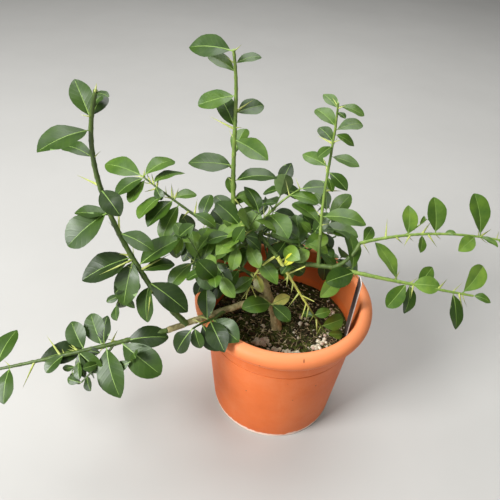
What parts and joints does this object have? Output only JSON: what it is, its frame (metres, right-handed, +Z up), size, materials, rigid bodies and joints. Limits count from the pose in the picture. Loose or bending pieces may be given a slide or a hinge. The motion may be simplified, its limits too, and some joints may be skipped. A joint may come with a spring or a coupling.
{
  "type": "potted citrus plant",
  "caption": "Young thorny citrus in a terracotta-coloured plastic pot: slim bent trunk, low spreading boughs, upright leafy shoots and a leafy crown, to stand on a floor or bench.",
  "frame": {"origin": "middle of the pot's flat underside", "axes": "+X to the right of the plant's front, +Y runs away from the front, +Z up"},
  "size_m": [0.5682, 0.2634, 0.4134],
  "materials": {
    "pot_plastic": "terracotta-orange moulded plastic, satin, with a pale lime line round the worn base edge",
    "compost": "dark moist compost with green moss and pale grit",
    "label_card": "thin plain dark plastic strip with a pale edge",
    "grey_bark": "grey-brown bark with fine ridges",
    "green_bark": "smooth green young bark",
    "dark_foliage": "glossy dark green citrus leaves with paler midribs",
    "young_foliage": "satin bright green young leaves, green twigs and pale thorns",
    "yellow_foliage": "satin yellow-green new shoots with straight thorns"
  },
  "bodies": {
    "root": {"pot": "pot_plastic", "soil": "compost", "plant_label": "label_card", "trunk": "grey_bark", "left_low_bough": "grey_bark", "left_tall_bough": "green_bark", "rim_bough": "green_bark", "centre_bough": "green_bark", "right_low_bough": "green_bark", "right_tall_bough": "green_bark", "right_high_bough": "green_bark", "back_left_bough": "green_bark", "back_right_bough": "green_bark", "front_bough": "green_bark", "left_low_leaves": "dark_foliage", "left_tall_leaves": "dark_foliage", "rim_leaves": "dark_foliage", "centre_leaves": "young_foliage", "right_low_leaves": "young_foliage", "right_high_leaves": "young_foliage", "right_tall_leaves": "young_foliage", "back_left_leaves": "dark_foliage", "back_right_leaves": "young_foliage", "front_leaves": "yellow_foliage", "thorny_leaves": "yellow_foliage", "crown_left_leaves": "dark_foliage", "crown_middle_leaves": "dark_foliage", "crown_right_leaves": "dark_foliage", "crown_front_leaves": "dark_foliage", "crown_back_leaves": "dark_foliage", "crown_back_left_leaves": "dark_foliage", "crown_back_right_leaves": "dark_foliage"}
  },
  "joints": []
}
